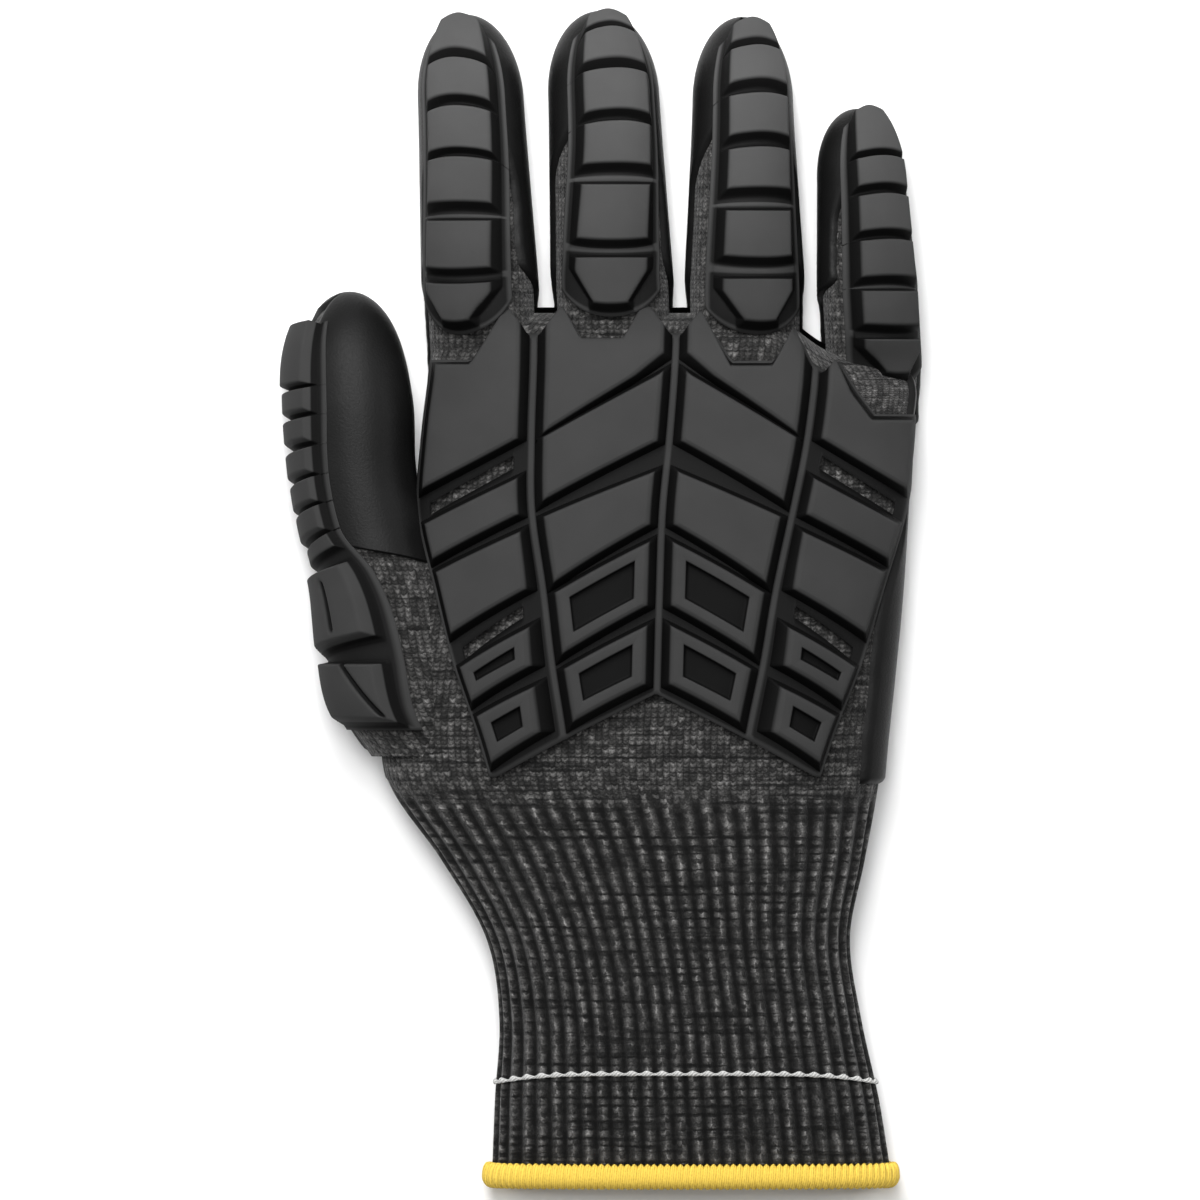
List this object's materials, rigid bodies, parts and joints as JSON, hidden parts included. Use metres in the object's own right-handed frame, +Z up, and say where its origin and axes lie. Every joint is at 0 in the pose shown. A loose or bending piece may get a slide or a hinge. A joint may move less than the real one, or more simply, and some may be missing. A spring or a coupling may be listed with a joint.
{
  "type": "impact glove",
  "caption": "Knitted right-hand work glove with a coated palm and ribbed cuff, moulded rubber impact guards on the back, fingers and thumb, and a yellow hem.",
  "frame": {"origin": "on the surface that the glove lies on, under the middle of its bounding box", "axes": "+Y from the cuff towards the fingertips, +Z up out of the back of the hand, the thumb on the -X side"},
  "size_m": [0.1416, 0.2596, 0.0346],
  "materials": {
    "knit": "heather jersey and rib knit",
    "coating": "satin dipped nitrile",
    "rubber": "matte moulded rubber",
    "hem": "overlocked yarn",
    "marker": "knitted yarn"
  },
  "bodies": {
    "root": {"knit_liner": "knit", "index_sleeve": "knit", "middle_sleeve": "knit", "ring_sleeve": "knit", "little_sleeve": "knit", "thumb_sleeve": "knit", "palm_coating": "coating", "back_guard": "rubber", "index_guard": "rubber", "middle_guard": "rubber", "ring_guard": "rubber", "little_guard": "rubber", "thumb_guard": "rubber", "cuff_hem": "hem", "marker_thread": "marker"}
  },
  "joints": []
}
